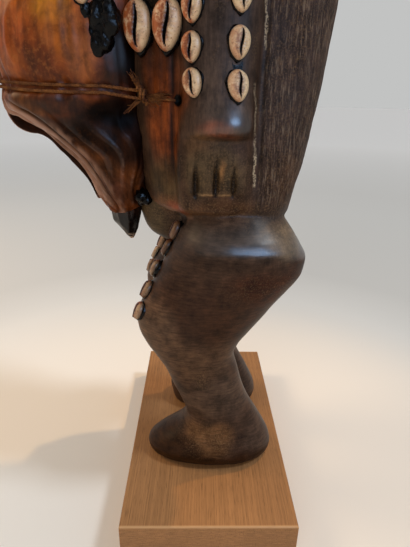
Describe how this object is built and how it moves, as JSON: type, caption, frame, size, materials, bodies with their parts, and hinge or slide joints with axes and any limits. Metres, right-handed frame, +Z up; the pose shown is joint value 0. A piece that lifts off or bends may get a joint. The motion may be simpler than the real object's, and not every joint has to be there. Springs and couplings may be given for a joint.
{
  "type": "power figure",
  "caption": "Standing carved wood power figure with bent legs and hands on its flanks, a tied hide bundle at the belly and cowrie shells, on an oak plinth.",
  "frame": {"origin": "centre of the plinth's underside", "axes": "+Z up, -Y the way the figure faces, +X the figure's own left side"},
  "size_m": [0.268, 0.266, 0.7553],
  "materials": {
    "carved_wood": "dark carved hardwood with a handled, oily brown-black patina, weathered open grain on the back",
    "oak": "sawn and planed oak, thin satin oil",
    "hide_leather": "stiff dried hide, orange-brown, worn shiny on its bulges",
    "horn": "black horn-like hard tip, semi-gloss",
    "plant_fibre": "twisted plant-fibre cord, dry and frayed",
    "pitch": "black resinous pitch, glossy",
    "cowrie_shell": "old cream cowrie shell with tan stains, dull gloss"
  },
  "bodies": {
    "root": {"cowrie_left_arm_front_1": "cowrie_shell", "cowrie_left_arm_front_2": "cowrie_shell", "cowrie_left_arm_front_3": "cowrie_shell", "cowrie_left_arm_front_4": "cowrie_shell", "cowrie_left_arm_outer_1": "cowrie_shell", "cowrie_left_arm_outer_2": "cowrie_shell", "cowrie_left_arm_outer_3": "cowrie_shell", "cowrie_left_arm_outer_4": "cowrie_shell", "cowrie_left_flank_1": "cowrie_shell", "cowrie_left_flank_2": "cowrie_shell", "cowrie_left_hide": "cowrie_shell", "cowrie_left_thigh_1": "cowrie_shell", "cowrie_left_thigh_2": "cowrie_shell", "cowrie_left_thigh_3": "cowrie_shell", "cowrie_left_thigh_4": "cowrie_shell", "cowrie_left_thigh_5": "cowrie_shell", "cowrie_right_arm_front_1": "cowrie_shell", "cowrie_right_arm_front_2": "cowrie_shell", "cowrie_right_arm_front_3": "cowrie_shell", "cowrie_right_arm_front_4": "cowrie_shell", "cowrie_right_arm_outer_1": "cowrie_shell", "cowrie_right_arm_outer_2": "cowrie_shell", "cowrie_right_arm_outer_3": "cowrie_shell", "cowrie_right_arm_outer_4": "cowrie_shell", "cowrie_right_flank_1": "cowrie_shell", "cowrie_right_flank_2": "cowrie_shell", "cowrie_right_hide": "cowrie_shell", "cowrie_right_thigh_1": "cowrie_shell", "cowrie_right_thigh_2": "cowrie_shell", "cowrie_right_thigh_3": "cowrie_shell", "cowrie_right_thigh_4": "cowrie_shell", "cowrie_right_thigh_5": "cowrie_shell", "figure": "carved_wood", "hide": "hide_leather", "hide_tip": "horn", "pitch_left": "pitch", "pitch_right": "pitch", "plinth": "oak", "tie_cord": "plant_fibre"}
  },
  "joints": []
}
